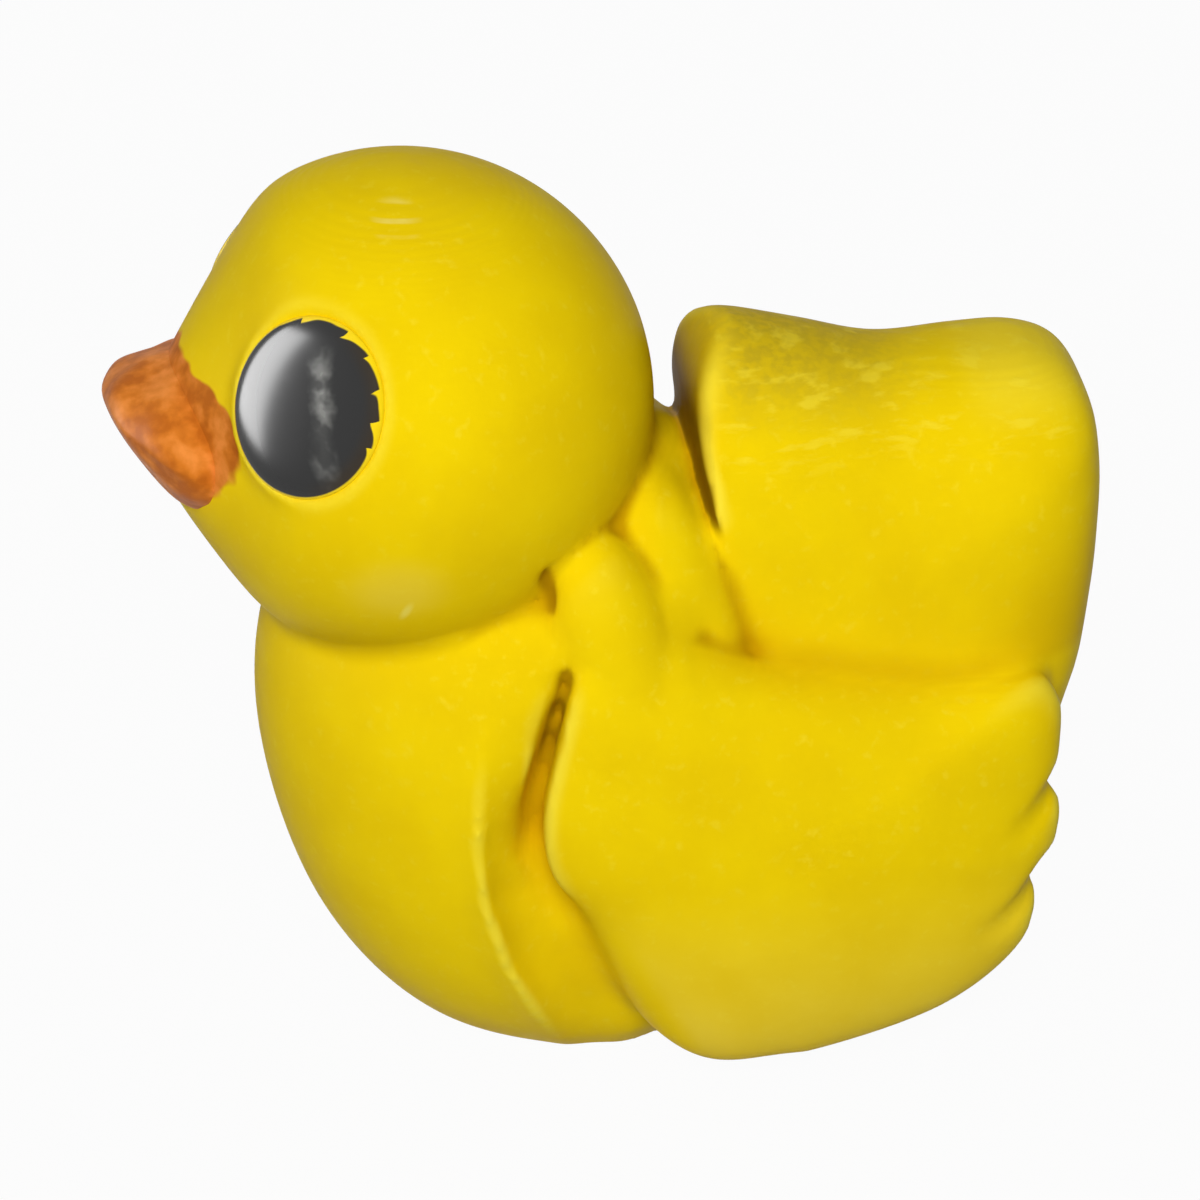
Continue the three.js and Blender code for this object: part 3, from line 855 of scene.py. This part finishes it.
def tail_flecks_and_painted_light(base, x, z, grain, flecks):
    """The tail's top is flecked, and painted shade makes it darker, most in its dip; a painted highlight
    makes its rear corner paler, and painted shade darkens its foot.
    """
    # Painted shade: the tail's top is darker, mottled by the grain, and more so in its dip.
    top_shade = z.step(*TOP_SHADE_HEIGHT) * x.step(*TOP_SHADE_FRONT) * (1 - x.step(*TOP_SHADE_REAR) * 0.97)
    base = (top_shade * (0.6 + 0.4 * grain.step(0.35, 0.65))).blend(base, YELLOW_TOP_SHADE)
    dip = (1 - ((x - DIP_PLACE) / DIP_SIZE).size().step(0.2, 1.0)) * z.step(*DIP_HEIGHT)
    base = (dip * 0.3).blend(base, YELLOW_TOP_SHADE)
    # Painted highlight: the tail's rear corner is paler.
    base = (x.step(*CORNER_FRONT) * z.step(*CORNER_HEIGHT) * 0.4).blend(base, YELLOW_PALE)
    # Painted shade at the tail's foot, above the wing.
    foot = x.step(*FOOT_FRONT) * z.band(FOOT_RISE, FOOT_FALL)
    base = (foot * 0.6).blend(base, YELLOW_SHADE)
    return (flecks * 0.45).blend(base, YELLOW_PALE)


def painted_fold_light(base, where, x, z):
    """Painted shade: deeper colour in what lies sunk by the marks, more round the lobe, darkest in deep
    creases, in the trench before the tail, on the slit's floor and in the nick; and a painted highlight, a
    paler colour, on raised edges.
    """
    # Painted shade in what lies below a much smoothed skin, and in creases, more round the lobe.
    base = (where.mark("shade").step(0.1, 0.8) * 0.75).blend(base, YELLOW_SHADE)
    crease = where.mark("crease")
    round_lobe = z.step(*LOBE_HEIGHT) * x.band(LOBE_FRONT, LOBE_REAR)
    fold = (crease * (1 + 0.4 * round_lobe)).step(0.04, 0.3) * (0.45 + 0.55 * z.step(*FOLD_HEIGHT))
    base = fold.blend(base, YELLOW_CREASE)
    # Painted shade, darkest in deep creases.
    base = crease.step(0.3, 0.6).blend(base, YELLOW_DARK)
    # Painted shade: the tail's front face in the trench before it is dark.
    trench = z.step(*TRENCH_HEIGHT) * x.band(TRENCH_FRONT, TRENCH_REAR)
    trench = where.mark("facing").step(0.35, 0.85) * trench
    base = (trench * (1 - z.step(*TRENCH_TOP) * 0.7)).blend(base, YELLOW_DARK)
    # Painted shade on the slit's floor and in the nick.
    base = (where.mark("slit").step(0.1, 0.8) * 0.85).blend(base, YELLOW_SLIT)
    base = (where.mark("nick").step(0.2, 0.9) * 0.9).blend(base, YELLOW_NICK)
    # Painted highlight: a paler colour on raised edges.
    return (crease * -1).step(0.09, 0.24).blend(base, YELLOW_PALE)


def chin_reflection_and_glint(base, x, z, cloud):
    """A painted reflection of the floor, a paler spot on the chin, and a small leaning painted glint in it.
    """
    # Painted reflection of the floor on the chin.
    chin = radius((x - CHIN[0]) / CHIN_SIZE[0], (z - CHIN[1]) / CHIN_SIZE[1])
    base = ((1 - chin.step(0.2, 1.2)) * (0.2 + 0.3 * cloud)).blend(base, YELLOW_FLOOR_REFLECTION)
    # Painted glint.
    right, up = x - GLINT[0], z - GLINT[1]
    along = right * GLINT_LEAN[0] + up * GLINT_LEAN[1]
    aside = right * GLINT_LEAN[1] - up * GLINT_LEAN[0]
    glint = 1 - radius(along / GLINT_SIZE[0], aside / GLINT_SIZE[1]).step(0.2, 1.1)
    return (glint * 0.6).blend(base, YELLOW_GLINT)


def yellow_rubber():
    """Soft yellow rubber: cloudy colour, painted shade where the moulding's marks lie sunk and painted
    highlight on raised edges, painted reflection of the floor low on the wing and on the chin, painted
    glints on the chin and in arcs on the crown, flecks with painted shade and highlight on the tail, a
    fringe of the beak's paint on the face round it, and fine level lines that show most on level skin."""
    material, shader, where, (x, y, z) = finish("yellow rubber")
    cloud = where.noise(CLOUDS, 4.0).step(0.25, 0.75)
    grain = where.noise(GRAIN)
    flattened = {0: where, 1: FLECK_FLATTENING}
    flat_where = where.node("ShaderNodeVectorMath", {"operation": "MULTIPLY"}, flattened)
    flecks = flat_where.noise(FLECKS).step(0.52, 0.7) * z.step(*FLECK_HEIGHT) * x.step(*FLECK_FRONT)
    base = cloud.blend(YELLOW_DEEP, YELLOW)
    base = (grain.step(0.55, 0.8) * 0.3).blend(base, YELLOW_PALE)
    # Painted reflection of the floor: a paler, wan colour low on the wing.
    low_wing_reflection = behind_wing_front(x, z).step(*FLOOR_REFLECTION_FRONT) * (1 - z.step(*FLOOR_REFLECTION_HEIGHT))
    base = (low_wing_reflection * (0.28 + 0.35 * cloud)).blend(base, YELLOW_FLOOR_REFLECTION)
    base = tail_flecks_and_painted_light(base, x, z, grain, flecks)
    base = painted_fold_light(base, where, x, z)
    base = chin_reflection_and_glint(base, x, z, cloud)
    # Painted glints: pale arcs along the level lines on the crown, where the skin is also a little
    # smoother.
    wander = where.noise(CROWN_GLINT_WANDER, 2.0) * 0.2
    arcs = ((z + wander) * (2 * math.pi / CROWN_GLINT_LAYER)).math("SINE").step(0.3, 1.0)
    crown = radius((x - CROWN[0]) / CROWN_SIZE[0], (y - CROWN[1]) / CROWN_SIZE[1])
    crown_glints = arcs * (1 - crown.step(0.3, 1.1)) * z.step(*CROWN_HEIGHT)
    crown_glints = crown_glints * where.noise(CROWN_GLINT_PATCHES, 1.0).step(0.3, 0.7)
    base = (crown_glints * 0.6).blend(base, YELLOW_CROWN_GLINT)
    fringe_up = (z - FRINGE_MIDDLE - y.size() * FRINGE_RISE) / FRINGE_SIZE[1]
    fringe = radius(y / FRINGE_SIZE[0], fringe_up) + where.noise(FRINGE_RAGS, 1.0) * 0.3 - 0.15
    painted = (1 - fringe.step(*FRINGE_EDGE)) * (1 - x.step(*FRINGE_BACK))
    link(painted.blend(base, orange_paint(where)), shader, "Base Color")
    link(where.noise(RUBBER_SHEEN) * 0.16 + RUBBER_ROUGHNESS - crown_glints * 0.15, shader, "Roughness")
    shader.inputs["Specular IOR Level"].default_value = RUBBER_SPECULAR
    shader.inputs["Specular Tint"].default_value = YELLOW_SHEEN
    lines = ((z + where.noise(LINE_WANDER, 2.0) * 0.12) * (2 * math.pi / LAYER)).math("SINE")
    upward = where.mark("level").step(0.72, 0.97)
    height = lines * (upward * 0.8 + 0.06) * (cloud * 0.6 + 0.4) + grain * 0.9 + flecks * 1.5
    link(height.bump(0.5, RUBBER_BUMP), shader, "Normal")
    return material


def beak_paint():
    """Satin orange with brush marks."""
    material, shader, where, _ = finish("beak paint")
    link(orange_paint(where), shader, "Base Color")
    link(where.noise(BRUSH_SHEEN) * 0.2 + BEAK_ROUGHNESS, shader, "Roughness")
    shader.inputs["Specular IOR Level"].default_value = BEAK_SPECULAR
    link(where.noise(BRUSH_MARKS).bump(0.6, BEAK_BUMP), shader, "Normal")
    return material


def eye_gloss(side):
    """Gloss black with a ragged edge where the yellow shows, brown towards its rear rim, and a dull grey
    streak down its middle."""
    material, shader, where, (x, y, z) = finish("gloss black " + ("left" if side < 0 else "right"))
    place, across, up, _ = eye_axes(side)

    def along(direction):
        """How far the skin lies from the eye's middle along a direction."""
        a, b, c = direction.tolist()
        return x * a + y * b + z * c - float(place @ direction)

    back = along(across * side * -1) / (EYE_WIDTH / 2)
    high = along(up) / (EYE_HEIGHT / 2)
    ring = radius(back, high)
    wander = where.noise(TEETH_WANDER, 1.0) * TEETH_JITTER
    teeth = (high.math("ARCTAN2", back) * TEETH_COUNT + wander).math("FRACT")
    depth = 0.04 + where.noise(TEETH_PATCHES, 1.0).step(0.4, 0.6) * 0.07
    depth = (back * 0.7 + high * 0.7).step(0.1, 0.7) * depth
    inside = 1 - (ring + depth * teeth ** TEETH_SHARPNESS).step(*GLOSS_EDGE)
    jag = where.noise(STREAK_RAGS, 3.0, 0.6)
    aside = (back - STREAK_PLACE + high * STREAK_LEAN + (jag - 0.5) * STREAK_JAG) / STREAK_WIDTH
    streak = (1 - aside.size().step(0.0, 1.2)) * (1 - (high + STREAK_DROP).size().step(0.4, 0.95))
    streak = streak * (0.2 + 0.7 * where.noise(STREAK_PATCHES, 2.0).step(0.4, 0.6))
    streak = streak * (0.5 + 0.5 * high.step(-0.5, 0.2))
    black = streak.blend(BLACK, GREY)
    black = (ring.step(0.75, 0.97) * back.step(0.1, 0.7)).blend(black, BROWN)
    link(inside.blend(YELLOW, black), shader, "Base Color")
    link(EYE_ROUGHNESS - inside * 0.3 + streak * 0.1, shader, "Roughness")
    shader.inputs["IOR"].default_value = EYE_IOR
    link((jag * streak).bump(0.5, EYE_BUMP), shader, "Normal")
    return material


def back_vector(azimuth, raise_):
    """From the duck to a place at this azimuth, 0 in front of its left side, and this height angle."""
    a, e = math.radians(azimuth), math.radians(raise_)
    return np.array([math.sin(a) * math.cos(e), -math.cos(a) * math.cos(e), math.sin(e)])


def aim(obj, azimuth, raise_, distance):
    """Puts a camera or a lamp round the duck, looking at its middle with its top upwards."""
    place = TARGET + distance * back_vector(azimuth, raise_)
    back = (place - TARGET) / np.linalg.norm(place - TARGET)
    right = np.cross([0, 0, 1], back)
    right /= np.linalg.norm(right)
    axes = np.eye(4)
    axes[:3] = np.stack([right, np.cross(back, right), back, place * MM], axis=1)
    obj.matrix_world = Matrix(axes.tolist())


def add_camera():
    """The picture's camera: its lens shows one pixel's size at the duck's distance."""
    data = bpy.data.cameras.new("camera")
    data.sensor_width = SENSOR
    data.lens = SENSOR * CAMERA_DISTANCE / (PIXEL * PICTURE)
    data.clip_start = CAMERA_NEAR
    data.dof.use_dof = False
    camera = add_object("camera", data)
    aim(camera, CAMERA_AZIMUTH, CAMERA_RAISE, CAMERA_DISTANCE)
    bpy.context.scene.camera = camera


def add_lamp(name, azimuth, raise_, distance, size, power):
    """A soft rectangular lamp that looks at the duck."""
    data = bpy.data.lights.new(name, "AREA")
    data.shape = "RECTANGLE"
    data.size, data.size_y = size[0] * MM, size[1] * MM
    data.energy = power
    lamp = add_object(name, data)
    aim(lamp, azimuth, raise_, distance)
    return lamp


def shown_white(tree, lit):
    """How much of a surface is shown as plain white: to the camera, in reflections and through glass."""
    path = Socket(tree).node("ShaderNodeLightPath").out.node
    rays = [Socket(tree, path.outputs[f"Is {kind} Ray"]) for kind in ("Camera", "Glossy", "Transmission")]
    return rays[0].math("MAXIMUM", rays[1]).math("MAXIMUM", rays[2]) * lit


def add_floor():
    """A pale round floor under the duck, as rings round its middle."""
    turn = turns(FLOOR_COLUMNS)
    rings = FLOOR_RINGS[:, None]
    grid = np.stack([rings * np.cos(turn), rings * np.sin(turn), FLOOR_LEVEL + 0 * rings * turn], axis=-1)
    points = np.vstack([grid[:1, 0], grid[1:].reshape(-1, 3)])
    row = 1 + FLOOR_COLUMNS * np.arange(len(rings) - 1)[:, None] + np.arange(FLOOR_COLUMNS)
    beside = np.roll(row, -1, axis=1)
    fan = np.stack([np.zeros(FLOOR_COLUMNS, int), row[0], beside[0]], 1)
    floor = add_object("floor", new_mesh("floor", points * MM, np.vstack([fan, strips(row, beside)])))
    material = bpy.data.materials.new("pale floor")
    material.use_nodes = True
    tree = material.node_tree
    shader = tree.nodes["Principled BSDF"]
    shader.inputs["Base Color"].default_value = FLOOR_GREY
    shader.inputs["Roughness"].default_value = FLOOR_ROUGHNESS
    plain = Socket(tree, shader.outputs[0])
    white = plain.node("ShaderNodeEmission")
    inputs = {0: shown_white(tree, FLOOR_WHITE), 1: plain, 2: white}
    link(plain.node("ShaderNodeMixShader", inputs=inputs), tree.nodes["Material Output"], "Surface")
    floor.data.materials.append(material)


def add_world():
    """A pale world that is shown as white."""
    world = bpy.data.worlds.new("pale world")
    bpy.context.scene.world = world
    world.use_nodes = True
    sky = world.node_tree.nodes["Background"]
    sky.inputs["Color"].default_value = WHITE
    link(shown_white(world.node_tree, 1 - WORLD_LIGHT) + WORLD_LIGHT, sky, "Strength")


add_camera()

points, faces, marks = moulding(
    [torso(), head(), tail()] + [wing(side) for side in SIDES]
    + [swelling(side, *SHOULDER) for side in SIDES] + [swelling(1, *BACK_LOBE)]
)
duck = add_piece("moulded_duck", points, faces, yellow_rubber(), "duck_body")
for name, values in marks.items():
    duck.data.attributes.new(name, "FLOAT", "POINT").data.foreach_set("value", values)

points, faces = shell(beak())
add_piece("painted_beak", points, outwards(points, faces), beak_paint(), "beak")

for side, name in zip(SIDES, ("left", "right")):
    points, faces = shell(eye(side))
    faces = outwards(points, faces)
    add_piece(name + "_eye_button", points, faces, eye_gloss(side), name + "_eye")

add_floor()
add_world()
key_lamp = add_lamp("key", azimuth=-13, raise_=36, distance=420, size=(140, 140), power=1.66)
key_lamp.visible_glossy = False
add_lamp("rear", azimuth=160, raise_=58, distance=420, size=(160, 160), power=0.14)
add_lamp("left fill", azimuth=-80, raise_=5, distance=420, size=(260, 260), power=0.045)
panel = add_lamp("gloss panel", azimuth=-91.5, raise_=9, distance=360, size=(175, 360), power=3.4)
panel.visible_diffuse = False

bpy.context.scene.view_settings.view_transform = "Standard"
